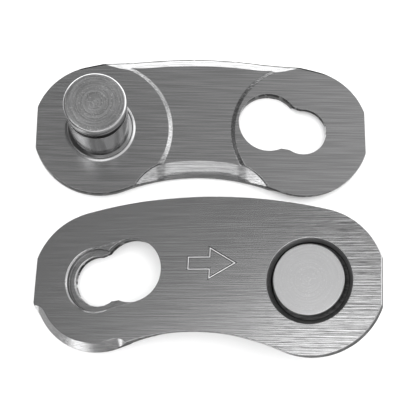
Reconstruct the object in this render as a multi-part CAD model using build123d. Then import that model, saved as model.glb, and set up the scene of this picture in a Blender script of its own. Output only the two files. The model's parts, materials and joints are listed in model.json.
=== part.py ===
from build123d import *
import os
from math import asin, atan2, cos, degrees, radians, sin, sqrt

# A two-part connecting link for a bicycle chain, taken apart and lying on a table.
#
# Both halves are the same: a steel plate with a pin riveted into one end and a
# keyhole slot in the other. The back half lies on its outer face with its pin
# standing up. The front half lies outer face up, on the tip of its pin and on
# the edge of its slot end, so it slopes.
#
# A half is drawn in its own frame and then put in its place:
#   origin midway between pin axis and slot seat, on the outer face
#   +X towards the pin, +Y towards the rounded back, +Z out of the outer face
# All sizes are in millimetres.

# Plate
PITCH = 12.7                  # pin axis to slot seat, one chain pitch
PLATE_THICK = 0.80            # at the raised end discs
END_R = 4.17                  # round ends
BACK_R = 30.2                 # long convex edge
WAIST_R = 12.75               # concave edge
END_FLAT_X = 10.3             # flats across the two ends
EDGE_BREAK = 0.05             # broken edges of the outer face

# Inner side: raised discs round the pin and the slot, a recess between them
RECESS_DEPTH = 0.15
DISC_R = 4.27
RECESS_RAMP = 0.25            # how far a disc's flank runs out
BACK_BEVEL_W = 0.63           # bevel of the long edge, measured in the recess
BACK_BEVEL_DROP = 0.47
BACK_BEVEL_X = 3.4            # half its length, without the run-outs
BACK_RUN_OUT_R = 5.5          # curve on which it leaves the edge
BACK_RUN_OUT_TURN = 36.0      # degrees
WAIST_BEVEL_W1 = 0.70         # bevel of the waist, in two slopes
WAIST_BEVEL_DROP1 = 0.25
WAIST_BEVEL_W2 = 0.27
WAIST_BEVEL_DROP2 = 0.28
WAIST_BEVEL_X = 1.55
WAIST_RUN_OUT_R = 2.2
WAIST_RUN_OUT_TURN = 62.0
WAIST_FLANK_UP = 0.02         # height over the recess at which a steep flank begins
WAIST_FLANK_W = 0.05

# Outer side: one bevel low on the slot end
NOSE_BEVEL_W = 0.42
NOSE_BEVEL_DROP = 0.42
NOSE_BEVEL_FROM = -149.0      # degrees round the end
NOSE_BEVEL_TO = -69.0

# Keyhole slot
SEAT_R = 1.475                # narrow end, holds the groove of the other pin
ENTRY_R = 1.88                # wide end, lets the tip of the other pin through
SLOT_TRAVEL = 2.22
SLOT_SLOPE = 15.7             # degrees, rising towards the middle of the plate
NECK_HALF = 1.39              # half the neck's width where it leaves the seat
NECK_AT = 0.48                # distance of that place from the seat's centre
NECK_FLARE = 0.11             # rise of the half width along the neck
LEDGE_R = 1.87                # counterbore for the tip of the other pin
LEDGE_DEPTH = 0.40
LEDGE_CHAMFER = 0.09
SEAT_CHAMFER = 0.06
LEAD_IN_HALF = 1.90           # shallow step from the wide end to the ledge
LEAD_IN_DEPTH = 0.07

# Pocket round the rivet head, in the outer face
POCKET_R = 2.17
POCKET_DEPTH = 0.45
POCKET_MOUTH_R = 2.41
POCKET_MOUTH_DEPTH = 0.24
RIVET_NECK_R = 1.55

# Pin
HEAD_R = 2.00                 # rivet head
HEAD_PROUD = 0.30
HEAD_ROUND = 0.08
COLLAR_R = 2.25               # foot collar on the inner face
COLLAR_HIGH = 0.12
COLLAR_CHAMFER = 0.20
FOOT_R = 1.98                 # cone where the shank meets the collar
FOOT_HIGH = 0.12
SHANK_R = 1.83
SHANK_LONG = 3.35             # inner face to groove
SHANK_CHAMFER = 0.05
GROOVE_R = 1.42               # snaps into the seat of the other slot
GROOVE_W = 0.60
TIP_HIGH = 0.70
TIP_ROUND = 0.15

# Direction mark on the front plate: an arrow outline cut into the outer face
ARROW_Y = 1.0
ARROW_TAIL_X = -0.70
ARROW_NECK_X = 0.58
ARROW_TIP_X = 2.08
ARROW_SHAFT_HALF = 0.35
ARROW_HEAD_HALF = 0.87
ARROW_LINE = 0.12
ARROW_DEPTH = 0.07

# Where the two halves lie
FRONT_SHIFT = (-0.16, -9.95)  # plan offset of the front half from the back half
FRONT_TURN = -2.4              # degrees in plan

# Worked out from the sizes above
PIN_X = PITCH / 2
SEAT_X = -PITCH / 2
INNER_Z = -PLATE_THICK
RECESS_Z = INNER_Z + RECESS_DEPTH
PIN_HIGH = SHANK_LONG + GROOVE_W + TIP_HIGH
BACK_CENTRE_Y = -sqrt((BACK_R - END_R) ** 2 - PIN_X ** 2)
WAIST_CENTRE_Y = -sqrt((WAIST_R + END_R) ** 2 - PIN_X ** 2)
ENTRY_AT = (
    SEAT_X + SLOT_TRAVEL * cos(radians(SLOT_SLOPE)),
    SLOT_TRAVEL * sin(radians(SLOT_SLOPE)),
)
PAST = 1.0                     # how far a cutter runs past the plate
OVERRUN = 0.3                  # how far a bevel's slope runs on outside its edge


def turned(points):
    """Solid turned about Z from its half profile, a list of (radius, height)."""
    return revolve(make_face(Plane.XZ * Polyline(*points, close=True)), Axis.Z)


def plate_outline():
    """Plan of a plate: round ends, convex back, concave waist, a flat across each end."""
    lean = PIN_X / (BACK_R - END_R)
    back_x = BACK_R * lean
    back_y = BACK_CENTRE_Y + BACK_R * sqrt(1 - lean ** 2)
    dip = PIN_X / (WAIST_R + END_R)
    waist_x = WAIST_R * dip
    waist_y = WAIST_CENTRE_Y + WAIST_R * sqrt(1 - dip ** 2)
    end_x = PIN_X + END_R
    edges = [
        ThreePointArc((-back_x, back_y), (0, BACK_CENTRE_Y + BACK_R), (back_x, back_y)),
        ThreePointArc((back_x, back_y), (end_x, 0), (waist_x, waist_y)),
        ThreePointArc((waist_x, waist_y), (0, WAIST_CENTRE_Y + WAIST_R), (-waist_x, waist_y)),
        ThreePointArc((-waist_x, waist_y), (-end_x, 0), (-back_x, back_y)),
    ]
    return make_face(edges) & Rectangle(2 * END_FLAT_X, 4 * END_R)


def end_disc(x):
    """Raised disc on the inner side with its sloping flank."""
    wide = DISC_R + RECESS_RAMP
    profile = [(0, INNER_Z), (DISC_R, INNER_Z), (wide, RECESS_Z), (0, RECESS_Z)]
    return Pos(x, 0, 0) * turned(profile)


def recess():
    """Space between the raised discs."""
    slab = Pos(0, 0, INNER_Z) * extrude(Rectangle(2 * END_FLAT_X + PAST, 4 * END_R), RECESS_DEPTH)
    return slab - end_disc(PIN_X) - end_disc(SEAT_X)


def bevel_section(slope):
    """Cutter section for a bevel, as (distance in from the edge, height).

    slope lists the points of the bevel from the plate's edge inwards. The first stretch
    runs on outside the edge, so that the cut is clean.
    """
    (first_in, first_z), (next_in, next_z) = slope[:2]
    steep = (first_z - next_z) / (next_in - first_in)
    last_in, last_z = slope[-1]
    over_z = last_z + (PAST if last_z > first_z else -PAST)
    outside = (-OVERRUN, first_z + steep * OVERRUN)
    return [outside] + slope[1:] + [(last_in, over_z), (-OVERRUN, over_z)]


def bevel_sweep(slope, edge_r, inward, start, stop):
    """Bevel cutter along an edge arc round the origin, between two angles in degrees.

    inward is -1 where the plate lies inside the arc's circle and 1 where it lies outside.
    """
    ring = Polyline(*[(edge_r + inward * d, z) for d, z in bevel_section(slope)], close=True)
    return Rot(0, 0, start) * revolve(make_face(Plane.XZ * ring), Axis.Z, stop - start)


def bevel_run_outs(slope, edge_r, inward, half, run_r, turn):
    """Cutters that lead a bevel off its edge on a curve at both ends.

    The bevel follows an edge arc round the origin, half degrees to each side of +Y.
    """
    reach = edge_r - inward * run_r
    cutters = []
    for side in (-1, 1):
        angle = 90 + side * half
        start = angle + (0 if inward > 0 else 180) + (0 if side * inward > 0 else -turn)
        place = Pos(reach * cos(radians(angle)), reach * sin(radians(angle)), 0)
        cutters.append(place * bevel_sweep(slope, run_r, 1, start, start + turn))
    return cutters


def bevel_end(slope, edge_r, inward, angle):
    """Rounded end of a bevel cutter."""
    cone = turned([(d + OVERRUN, z) for d, z in bevel_section(slope)])
    far = edge_r - inward * OVERRUN
    return Pos(far * cos(radians(angle)), far * sin(radians(angle)), 0) * cone


def back_bevel():
    """Cutters for the bevel of the long convex edge, inner side, with its run-outs."""
    full_in = BACK_BEVEL_W * (BACK_BEVEL_DROP + RECESS_DEPTH) / BACK_BEVEL_DROP
    slope = [(0, RECESS_Z + BACK_BEVEL_DROP), (full_in, INNER_Z)]
    half = degrees(asin(BACK_BEVEL_X / BACK_R))
    cutters = [bevel_sweep(slope, BACK_R, -1, 90 - half, 90 + half)]
    cutters += bevel_run_outs(slope, BACK_R, -1, half, BACK_RUN_OUT_R, BACK_RUN_OUT_TURN)
    return [Pos(0, BACK_CENTRE_Y, 0) * cutter for cutter in cutters]


def waist_bevel():
    """Cutters for the bevel of the waist, inner side, in two slopes and a steep flank."""
    knee_z = RECESS_Z + WAIST_BEVEL_DROP1
    knee_in = WAIST_BEVEL_W2
    flank_z = RECESS_Z - WAIST_FLANK_UP
    flank_in = knee_in + WAIST_BEVEL_W1 * (WAIST_BEVEL_DROP1 + WAIST_FLANK_UP) / WAIST_BEVEL_DROP1
    slope = [
        (0, knee_z + WAIST_BEVEL_DROP2),
        (knee_in, knee_z),
        (flank_in, flank_z),
        (flank_in + WAIST_FLANK_W, INNER_Z),
    ]
    half = degrees(asin(WAIST_BEVEL_X / WAIST_R))
    cutters = [bevel_sweep(slope, WAIST_R, 1, 90 - half, 90 + half)]
    cutters += bevel_run_outs(slope, WAIST_R, 1, half, WAIST_RUN_OUT_R, WAIST_RUN_OUT_TURN)
    return [Pos(0, WAIST_CENTRE_Y, 0) * cutter for cutter in cutters]


def nose_bevel():
    """Cutters for the bevel low on the slot end, outer side."""
    slope = [(0, -NOSE_BEVEL_DROP), (NOSE_BEVEL_W, 0)]
    place = Pos(SEAT_X, 0, 0)
    cutters = [place * bevel_sweep(slope, END_R, -1, NOSE_BEVEL_FROM, NOSE_BEVEL_TO)]
    for angle in (NOSE_BEVEL_FROM, NOSE_BEVEL_TO):
        cutters.append(place * bevel_end(slope, END_R, -1, angle))
    return cutters


def along_track(plan):
    """Plan drawn from the seat along +X, put in its place on the slot's slope."""
    return Pos(SEAT_X, 0) * Rot(0, 0, SLOT_SLOPE) * plan


def neck():
    """Plan of the neck between seat and wide end, narrowest at the seat."""
    seat_half = NECK_HALF - NECK_FLARE * NECK_AT
    entry_half = NECK_HALF + NECK_FLARE * (SLOT_TRAVEL - NECK_AT)
    corners = [(0, -seat_half), (SLOT_TRAVEL, -entry_half), (SLOT_TRAVEL, entry_half), (0, seat_half)]
    return along_track(make_face(Polyline(*corners, close=True)))


def down(plan, depth):
    """Plan pushed down from the outer face."""
    return extrude(plan, -depth)


def keyhole():
    """Cutter for the keyhole slot, its ledge and its lead-in."""
    seat = Pos(SEAT_X, 0) * Circle(SEAT_R)
    entry = Pos(*ENTRY_AT) * Circle(ENTRY_R)
    through = down(seat + entry + neck(), PLATE_THICK)
    ledge = Pos(SEAT_X, 0, 0) * turned([
        (0, 0),
        (LEDGE_R + LEDGE_CHAMFER, 0),
        (LEDGE_R, -LEDGE_CHAMFER),
        (LEDGE_R, -LEDGE_DEPTH),
        (SEAT_R + SEAT_CHAMFER, -LEDGE_DEPTH),
        (SEAT_R, -LEDGE_DEPTH - SEAT_CHAMFER),
        (0, -LEDGE_DEPTH - SEAT_CHAMFER),
    ])
    lead_in_plan = along_track(Pos(SLOT_TRAVEL / 2, 0) * Rectangle(SLOT_TRAVEL, 2 * LEAD_IN_HALF))
    return through + ledge + down(lead_in_plan, LEAD_IN_DEPTH)


def rivet_pocket():
    """Cutter for the pocket of the rivet head and the hole under it."""
    return Pos(PIN_X, 0, 0) * turned([
        (0, 0),
        (POCKET_MOUTH_R, 0),
        (POCKET_R, -POCKET_MOUTH_DEPTH),
        (POCKET_R, -POCKET_DEPTH),
        (RIVET_NECK_R, -POCKET_DEPTH),
        (RIVET_NECK_R, INNER_Z),
        (0, INNER_Z),
    ])


def arrow_mark():
    """Cutter for the arrow outline."""
    corners = [
        (ARROW_TAIL_X, -ARROW_SHAFT_HALF),
        (ARROW_NECK_X, -ARROW_SHAFT_HALF),
        (ARROW_NECK_X, -ARROW_HEAD_HALF),
        (ARROW_TIP_X, 0),
        (ARROW_NECK_X, ARROW_HEAD_HALF),
        (ARROW_NECK_X, ARROW_SHAFT_HALF),
        (ARROW_TAIL_X, ARROW_SHAFT_HALF),
    ]
    shape = make_face(Polyline(*corners, close=True))
    wide = offset(shape, ARROW_LINE / 2, kind=Kind.INTERSECTION)
    narrow = offset(shape, -ARROW_LINE / 2, kind=Kind.INTERSECTION)
    return Pos(0, ARROW_Y, 0) * down(wide - narrow, ARROW_DEPTH)


def plate():
    """One plate in its own frame, without the direction mark."""
    body = down(plate_outline(), PLATE_THICK)
    rim = body.faces().sort_by(Axis.Z)[-1].edges()
    body = chamfer(rim, EDGE_BREAK)
    body = body - recess()
    for cutter in back_bevel() + waist_bevel() + nose_bevel():
        body = body - cutter
    return body - keyhole() - rivet_pocket()


def pin():
    """The riveted pin in the frame of its plate."""
    foot = INNER_Z - COLLAR_HIGH
    shank_end = INNER_Z - SHANK_LONG
    tip_start = shank_end - GROOVE_W
    tip_end = tip_start - TIP_HIGH
    profile = [
        (0, HEAD_PROUD),
        (HEAD_R - HEAD_ROUND, HEAD_PROUD),
        (HEAD_R - 0.3 * HEAD_ROUND, HEAD_PROUD - 0.3 * HEAD_ROUND),
        (HEAD_R, HEAD_PROUD - HEAD_ROUND),
        (HEAD_R, -POCKET_DEPTH),
        (RIVET_NECK_R, -POCKET_DEPTH),
        (RIVET_NECK_R, INNER_Z),
        (COLLAR_R, INNER_Z),
        (COLLAR_R - COLLAR_CHAMFER, foot),
        (FOOT_R, foot),
        (SHANK_R, foot - FOOT_HIGH),
        (SHANK_R, shank_end + SHANK_CHAMFER),
        (SHANK_R - SHANK_CHAMFER, shank_end),
        (GROOVE_R, shank_end),
        (GROOVE_R, tip_start),
        (SHANK_R, tip_start),
        (SHANK_R, tip_end + TIP_ROUND),
        (SHANK_R - 0.3 * TIP_ROUND, tip_end + 0.3 * TIP_ROUND),
        (SHANK_R - TIP_ROUND, tip_end),
        (0, tip_end),
    ]
    return Pos(PIN_X, 0, 0) * turned(profile)


def lean_angle(high, far):
    """Slope in degrees of a half that rests on its slot end and on a point of its pin.

    high and far are the point's height over the slot end's edge and its distance from it.
    """
    return degrees(atan2(high, far))


def lay_down(lean, pieces):
    """Location that stands pieces, turned by lean, on Z = 0."""
    low = min((lean * piece).bounding_box().min.Z for piece in pieces)
    return Pos(0, 0, -low) * lean


def main():
    """Build the four pieces, lay them out and write them."""
    blank = plate()
    stud = pin()
    slot_edge = END_FLAT_X - EDGE_BREAK
    head_reach = slot_edge + PIN_X - (HEAD_R - HEAD_ROUND)
    tip_reach = END_FLAT_X + PIN_X - (SHANK_R - TIP_ROUND)
    back_lean = Rot(0, 180 + lean_angle(HEAD_PROUD, head_reach), 0)
    front_lean = Rot(0, 0, FRONT_TURN) * Rot(0, -lean_angle(PIN_HIGH, tip_reach), 0)
    back_place = lay_down(back_lean, (blank, stud))
    front_place = Pos(*FRONT_SHIFT, 0) * lay_down(front_lean, (blank, stud))
    pieces = {
        "back_plate": back_place * blank,
        "back_pin": back_place * stud,
        "front_plate": front_place * (blank - arrow_mark()),
        "front_pin": front_place * stud,
    }
    middle = Compound(list(pieces.values())).bounding_box().center()
    os.makedirs("parts", exist_ok=True)
    for name, shape in pieces.items():
        export_step(Pos(-middle.X, -middle.Y, 0) * shape, f"parts/{name}.step")


main()
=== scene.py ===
"""Looks of a two-part connecting link for a bicycle chain, lying open on a pale table.

Each half is drawn in its own frame, in millimetres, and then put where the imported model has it:
    origin midway between pin axis and slot seat, on the outer face
    +X towards the pin, +Y towards the rounded back, +Z out of the outer face
"""

import json
import logging
from dataclasses import dataclass, field
from enum import Enum
from math import acos, asin, ceil, cos, degrees, pi, radians, sin, sqrt, tan
from typing import Any, Optional, Sequence, Union

import bmesh
import bpy
from mathutils import Matrix, Vector


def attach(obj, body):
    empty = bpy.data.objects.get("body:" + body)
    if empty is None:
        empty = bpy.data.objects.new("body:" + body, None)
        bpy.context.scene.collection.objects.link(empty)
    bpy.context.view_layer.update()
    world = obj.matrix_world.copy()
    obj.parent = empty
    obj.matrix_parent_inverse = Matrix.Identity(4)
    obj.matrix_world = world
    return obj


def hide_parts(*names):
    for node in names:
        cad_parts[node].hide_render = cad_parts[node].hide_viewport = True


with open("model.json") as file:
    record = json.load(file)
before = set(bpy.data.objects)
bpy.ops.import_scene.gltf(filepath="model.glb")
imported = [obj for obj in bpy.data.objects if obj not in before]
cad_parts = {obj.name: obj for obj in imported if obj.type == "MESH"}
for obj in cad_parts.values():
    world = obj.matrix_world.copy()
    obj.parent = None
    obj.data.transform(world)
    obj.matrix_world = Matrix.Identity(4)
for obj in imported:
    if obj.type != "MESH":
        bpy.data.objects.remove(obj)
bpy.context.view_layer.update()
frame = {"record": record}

MM = 0.001                        # a millimetre in metres
PITCH = 12.7                      # pin axis to slot seat
PIN_X = PITCH / 2
SEAT_X = -PITCH / 2
PAST = 1.0                        # how far a cutter runs past the steel
SAME_SPOT = 1e-5                  # points nearer than this are one
LEAST_STEPS = 8                   # fewest stretches in an arc of a bevel's path
STEP = 14                         # longest stretch there, as degrees times the arc's radius
ROUND_STEP = 0.03                 # rounding that takes one stretch more
EASE_STRETCHES = 2                # stretches in an eased edge
FLAT_WEIGHT = 50                  # how flat faces beside eased edges are shaded

Flat = tuple[float, float]        # a point in plan, or a radius and a height
Span = tuple[float, float]        # where a mask begins to rise or fall, and where it is done
Triple = tuple[float, float, float]
Number = Union[float, "Signal"]

log = logging.getLogger("connecting link")


class Half(Enum):
    """The two halves of the link, named by where they lie."""

    BACK = "back"
    FRONT = "front"


@dataclass(frozen=True)
class Place:
    """Where one half lies on the table.

    Attributes:
        half: Which half it is.
        matrix: From the half's own frame in millimetres to the shared frame in metres.
    """

    half: Half
    matrix: Matrix

    @classmethod
    def of(cls, half: Half, wall_middle: float) -> "Place":
        """Works the place out from the mount on the half's pin.

        Args:
            half: The half to place.
            wall_middle: Height of the mount's middle in the half's own frame.

        Returns:
            The place of that half.
        """
        mounts = frame["record"]["mounts"]
        mount = next(m for m in mounts if m["name"] == f"{half.value}_pin_shank")
        outward = -Vector(mount["axis"]).normalized()
        backward = Vector((outward.y, -outward.x, 0)).normalized()
        along = backward.cross(outward)
        turn = Matrix((along, backward, outward)).transposed()
        middle = turn @ Vector((PIN_X, 0, wall_middle)) * MM
        shift = Matrix.Translation(Vector(mount["pos_m"]) - middle)
        return cls(half, shift @ turn.to_4x4() @ Matrix.Scale(MM, 4))


# Shaping steel


def arc(centre: Flat, radius: float, start: float, stop: float, count: int) -> list[Flat]:
    """Points along an arc, both ends included.

    Args:
        centre: Centre of the arc.
        radius: Its radius.
        start: First angle in degrees.
        stop: Last angle in degrees.
        count: How many stretches the arc is divided into.

    Returns:
        The points, count + 1 of them.
    """
    turns = [radians(start + (stop - start) * i / count) for i in range(count + 1)]
    return [(centre[0] + radius * cos(t), centre[1] + radius * sin(t)) for t in turns]


def linked(name: str, data: bpy.types.ID) -> bpy.types.Object:
    """New object in the scene.

    Args:
        name: Name of the object.
        data: Its mesh, light or camera.

    Returns:
        The object.
    """
    thing = bpy.data.objects.new(name, data)
    bpy.context.scene.collection.objects.link(thing)
    return thing


def skin(name: str, rings: Sequence[Sequence[Vector]], closed: bool = False) -> bpy.types.Object:
    """Solid skinned over rings that all have the same number of points.

    Args:
        name: Name of the solid.
        rings: The rings, in order.
        closed: True if the last ring joins the first, False for a cap at each end.

    Returns:
        The solid, faces outwards.
    """
    form = bmesh.new()
    rows = [[form.verts.new(point) for point in ring] for ring in rings]
    pairs = list(zip(rows, rows[1:]))
    if closed:
        pairs.append((rows[-1], rows[0]))
    else:
        form.faces.new(rows[0])
        form.faces.new(rows[-1])
    for low, high in pairs:
        for i in range(len(low)):
            form.faces.new((low[i - 1], low[i], high[i], high[i - 1]))
    bmesh.ops.remove_doubles(form, verts=form.verts, dist=SAME_SPOT)
    bmesh.ops.recalc_face_normals(form, faces=form.faces)
    mesh = bpy.data.meshes.new(name)
    form.to_mesh(mesh)
    form.free()
    return linked(name, mesh)


def prism(name: str, plan: Sequence[Flat], low: float, high: float) -> bpy.types.Object:
    """Upright solid over a plan, between two heights."""
    return skin(name, [[Vector((x, y, z)) for x, y in plan] for z in (low, high)])


def stack(name: str, centre: Flat, profile: Sequence[Flat], count: int = 120) -> bpy.types.Object:
    """Round solid from circles that are laid over each other.

    Args:
        name: Name of the solid.
        centre: Centre of the circles in plan.
        profile: Radius and height of each circle.
        count: Stretches round a circle.

    Returns:
        The solid.
    """
    rings = []
    for radius, height in profile:
        circle = arc(centre, radius, 0, 360, count)[:-1]
        rings.append([Vector((x, y, height)) for x, y in circle])
    return skin(name, rings)


@dataclass(frozen=True)
class Turn:
    """One stretch of a bevel's path: an arc of the plate's edge, or of a rounded end.

    Attributes:
        centre: Centre of the arc in plan.
        edge_r: Its radius.
        inward: -1 where the steel lies inside the arc's circle, 1 where it lies outside.
        start: First angle in degrees.
        stop: Last angle in degrees.
    """

    centre: Flat
    edge_r: float
    inward: int
    start: float
    stop: float

    def rings(self, section: Sequence[Flat]) -> list[list[Vector]]:
        """Lays a section at steps along the arc.

        Args:
            section: Points of (distance in from the edge, height).

        Returns:
            The laid sections.
        """
        count = max(LEAST_STEPS, ceil(abs(self.stop - self.start) * self.edge_r / STEP))
        reach = [(self.edge_r + self.inward * depth, z) for depth, z in section]
        rings = []
        for i in range(count + 1):
            turn = radians(self.start + (self.stop - self.start) * i / count)
            x, y = self.centre
            rings.append([Vector((x + r * cos(turn), y + r * sin(turn), z)) for r, z in reach])
        return rings


def settle(piece: bpy.types.Object) -> None:
    """Makes what a piece's modifiers show its own plain mesh, and takes them off.

    Args:
        piece: The piece.
    """
    shown = piece.evaluated_get(bpy.context.evaluated_depsgraph_get())
    mesh = bpy.data.meshes.new_from_object(shown)
    piece.modifiers.clear()
    old = piece.data
    piece.data = mesh
    bpy.data.meshes.remove(old)


def cut(body: bpy.types.Object, cutters: Sequence[bpy.types.Object]) -> bpy.types.Object:
    """Takes the cutters away from the body and removes them.

    Args:
        body: The solid to cut.
        cutters: The solids to take away.

    Returns:
        The body.
    """
    for cutter in cutters:
        knife = body.modifiers.new(cutter.name, "BOOLEAN")
        knife.operation = "DIFFERENCE"
        knife.solver = "EXACT"
        knife.object = cutter
    settle(body)
    for cutter in cutters:
        bpy.data.objects.remove(cutter)
    return body


def clean(body: bpy.types.Object, weld: float, flat: float) -> None:
    """Welds near points and clears the lines inside flat faces.

    Args:
        body: The solid to clean.
        weld: Points nearer than this become one.
        flat: Faces that meet at less than this many degrees become one.
    """
    form = bmesh.new()
    form.from_mesh(body.data)
    bmesh.ops.remove_doubles(form, verts=form.verts, dist=weld)
    bmesh.ops.dissolve_degenerate(form, edges=form.edges, dist=weld / 10)
    bmesh.ops.dissolve_limit(form, angle_limit=radians(flat), verts=form.verts, edges=form.edges)
    bmesh.ops.recalc_face_normals(form, faces=form.faces)
    form.to_mesh(body.data)
    form.free()


def ease_edges(body: bpy.types.Object, width: float, least: float) -> None:
    """Rounds the solid's edges a little and shades its faces smoothly.

    Args:
        body: The solid.
        width: Width of the rounding.
        least: Edges that turn by less than this many degrees stay.
    """
    for face in body.data.polygons:
        face.use_smooth = True
    ease = body.modifiers.new("eased edges", "BEVEL")
    ease.width = width
    ease.segments = EASE_STRETCHES
    ease.limit_method = "ANGLE"
    ease.angle_limit = radians(least)
    ease.use_clamp_overlap = False
    weigh = body.modifiers.new("flat faces stay flat", "WEIGHTED_NORMAL")
    weigh.weight = FLAT_WEIGHT
    settle(body)


# Shading


class Signal:
    """A value in a material that takes part in Python sums."""

    def __init__(self, bench: "Bench", socket: bpy.types.NodeSocket) -> None:
        """Holds the socket and the bench that its nodes are made on."""
        self.bench = bench
        self.socket = socket

    def join(self, operation: str, first: Number, second: Number = 0.0) -> "Signal":
        """Result of a Math node on two values."""
        node = self.bench.node("ShaderNodeMath", {"operation": operation}, {0: first, 1: second})
        return Signal(self.bench, node.outputs[0])

    def __add__(self, other: Number) -> "Signal":
        """Sum."""
        return self.join("ADD", self, other)

    def __radd__(self, other: Number) -> "Signal":
        """Sum, the other way round."""
        return self.join("ADD", other, self)

    def __sub__(self, other: Number) -> "Signal":
        """Difference."""
        return self.join("SUBTRACT", self, other)

    def __rsub__(self, other: Number) -> "Signal":
        """Difference, the other way round."""
        return self.join("SUBTRACT", other, self)

    def __mul__(self, other: Number) -> "Signal":
        """Product."""
        return self.join("MULTIPLY", self, other)

    def __rmul__(self, other: Number) -> "Signal":
        """Product, the other way round."""
        return self.join("MULTIPLY", other, self)

    def __pow__(self, other: Number) -> "Signal":
        """Power."""
        return self.join("POWER", self, other)

    def __abs__(self) -> "Signal":
        """Size without its sign."""
        return self.join("ABSOLUTE", self)

    def rise(self, span: Span) -> "Signal":
        """Mask that rises smoothly from 0 to 1 over a span.

        Args:
            span: Where it is 0 and where it is 1.

        Returns:
            The mask.
        """
        node = self.bench.node(
            "ShaderNodeMapRange",
            {"interpolation_type": "SMOOTHSTEP"},
            {"Value": self, "From Min": span[0], "From Max": span[1]},
        )
        return Signal(self.bench, node.outputs[0])

    def fall(self, span: Span) -> "Signal":
        """Mask that falls smoothly from 1 to 0 over a span."""
        return 1 - self.rise(span)

    def within(self, rising: Span, falling: Span) -> "Signal":
        """Mask of what lies between two spans."""
        return self.rise(rising) * self.fall(falling)

    def swing(self) -> "Signal":
        """How far a value between 0 and 1 lies from the middle."""
        return self - 0.5


def length(x: Signal, y: Signal) -> Signal:
    """Length of a flat vector."""
    return (x * x + y * y) ** 0.5


def blend(first: Number, second: Number, mask: Number) -> Number:
    """Goes from one value to another as a mask rises from 0 to 1."""
    return first + (second - first) * mask


@dataclass(frozen=True)
class Grain:
    """One layer of noise.

    Attributes:
        per_unit: Its frequency along the three components of a place.
        detail: How many finer layers it holds.
        rough: How strong those are.
        spread: The stretch of it that is spread over 0 to 1, if not all of it.
    """

    per_unit: Triple
    detail: float = 2.0
    rough: float = 0.5
    spread: Optional[Span] = None


class Bench:
    """Makes the nodes of one material or of the world."""

    def __init__(self, tree: bpy.types.NodeTree) -> None:
        """Starts on an empty tree."""
        self.tree = tree
        self.tree.nodes.clear()

    def node(
        self,
        kind: str,
        settings: Optional[dict[str, Any]] = None,
        inputs: Optional[dict[Union[int, str], Any]] = None,
    ) -> bpy.types.Node:
        """Adds a node.

        Args:
            kind: The node's type.
            settings: Its settings, set before its sockets.
            inputs: What goes into its sockets: numbers, colours, sockets or signals.

        Returns:
            The node.
        """
        made = self.tree.nodes.new(kind)
        for key, value in (settings or {}).items():
            setattr(made, key, value)
        for key, value in (inputs or {}).items():
            if isinstance(value, Signal):
                value = value.socket
            if isinstance(value, bpy.types.NodeSocket):
                self.tree.links.new(value, made.inputs[key])
            else:
                made.inputs[key].default_value = value
        return made

    def signal(self, node: bpy.types.Node, output: Union[int, str] = 0) -> Signal:
        """One of a node's outputs as a signal."""
        return Signal(self, node.outputs[output])

    def parts(self, vector: bpy.types.NodeSocket) -> list[Signal]:
        """The three components of a vector."""
        node = self.node("ShaderNodeSeparateXYZ", inputs={0: vector})
        return [self.signal(node, i) for i in range(3)]

    def vector(self, x: Number, y: Number, z: Number) -> bpy.types.NodeSocket:
        """A vector from its three components."""
        return self.node("ShaderNodeCombineXYZ", inputs={0: x, 1: y, 2: z}).outputs[0]

    def dot(self, vector: bpy.types.NodeSocket, other: Sequence[float]) -> Signal:
        """Dot product of a vector with a fixed one."""
        node = self.node("ShaderNodeVectorMath", {"operation": "DOT_PRODUCT"}, {0: vector, 1: tuple(other)})
        return self.signal(node, "Value")

    def noise(self, spot: bpy.types.NodeSocket, grain: Grain) -> Signal:
        """A layer of noise.

        Args:
            spot: The place to read it at.
            grain: What it is like.

        Returns:
            Its value, between 0 and 1.
        """
        scaled = self.node("ShaderNodeVectorMath", {"operation": "MULTIPLY"}, {0: spot, 1: grain.per_unit})
        inputs = {"Vector": scaled.outputs[0], "Scale": 1.0, "Detail": grain.detail, "Roughness": grain.rough}
        value = self.signal(self.node("ShaderNodeTexNoise", inputs=inputs))
        return value.rise(grain.spread) if grain.spread else value

    def tint(self, colour: Sequence[float], by: Number) -> bpy.types.NodeSocket:
        """A colour made lighter or darker by a signal."""
        node = self.node("ShaderNodeVectorMath", {"operation": "SCALE"}, {0: tuple(colour), "Scale": by})
        return node.outputs[0]

    def surface(self, inputs: dict[str, Any]) -> None:
        """Ends a material in a Principled shader with the given inputs."""
        shader = self.node("ShaderNodeBsdfPrincipled", inputs=inputs)
        self.node("ShaderNodeOutputMaterial", inputs={"Surface": shader.outputs[0]})

    def bump(self, depth: float, height: Signal) -> bpy.types.NodeSocket:
        """Normal over a relief that is so many metres deep."""
        inputs = {"Strength": 1.0, "Distance": depth, "Height": height}
        return self.node("ShaderNodeBump", inputs=inputs).outputs[0]


def new_material(name: str) -> tuple[bpy.types.Material, Bench]:
    """Fresh material.

    Args:
        name: Name of the material.

    Returns:
        The material and the bench for its nodes.
    """
    material = bpy.data.materials.new(name)
    material.use_nodes = True
    return material, Bench(material.node_tree)


class Axis(Enum):
    """Axes of a half's own frame that a surface can face along."""

    BACK = 1
    OUT = 2


class OwnFrame:
    """What a material reads in its half's own frame."""

    def __init__(self, bench: Bench, place: Place) -> None:
        """Finds the position in millimetres and keeps the normal.

        Args:
            bench: Where the nodes go.
            place: Where the half lies.
        """
        self.bench = bench
        self.place = place
        given = bench.node("ShaderNodeTexCoord").outputs
        self.normal = given["Normal"]
        where, turn, scale = place.matrix.decompose()
        mapping = bench.node(
            "ShaderNodeMapping",
            {"vector_type": "TEXTURE"},
            {"Vector": given["Object"], "Location": where, "Rotation": turn.to_euler("XYZ"), "Scale": scale},
        )
        self.spot = mapping.outputs[0]
        self.x, self.y, self.z = bench.parts(self.spot)

    def facing(self, axis: Axis) -> Signal:
        """Cosine between the surface's normal and an axis."""
        return self.bench.dot(self.normal, self.place.matrix.col[axis.value].to_3d().normalized())


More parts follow.
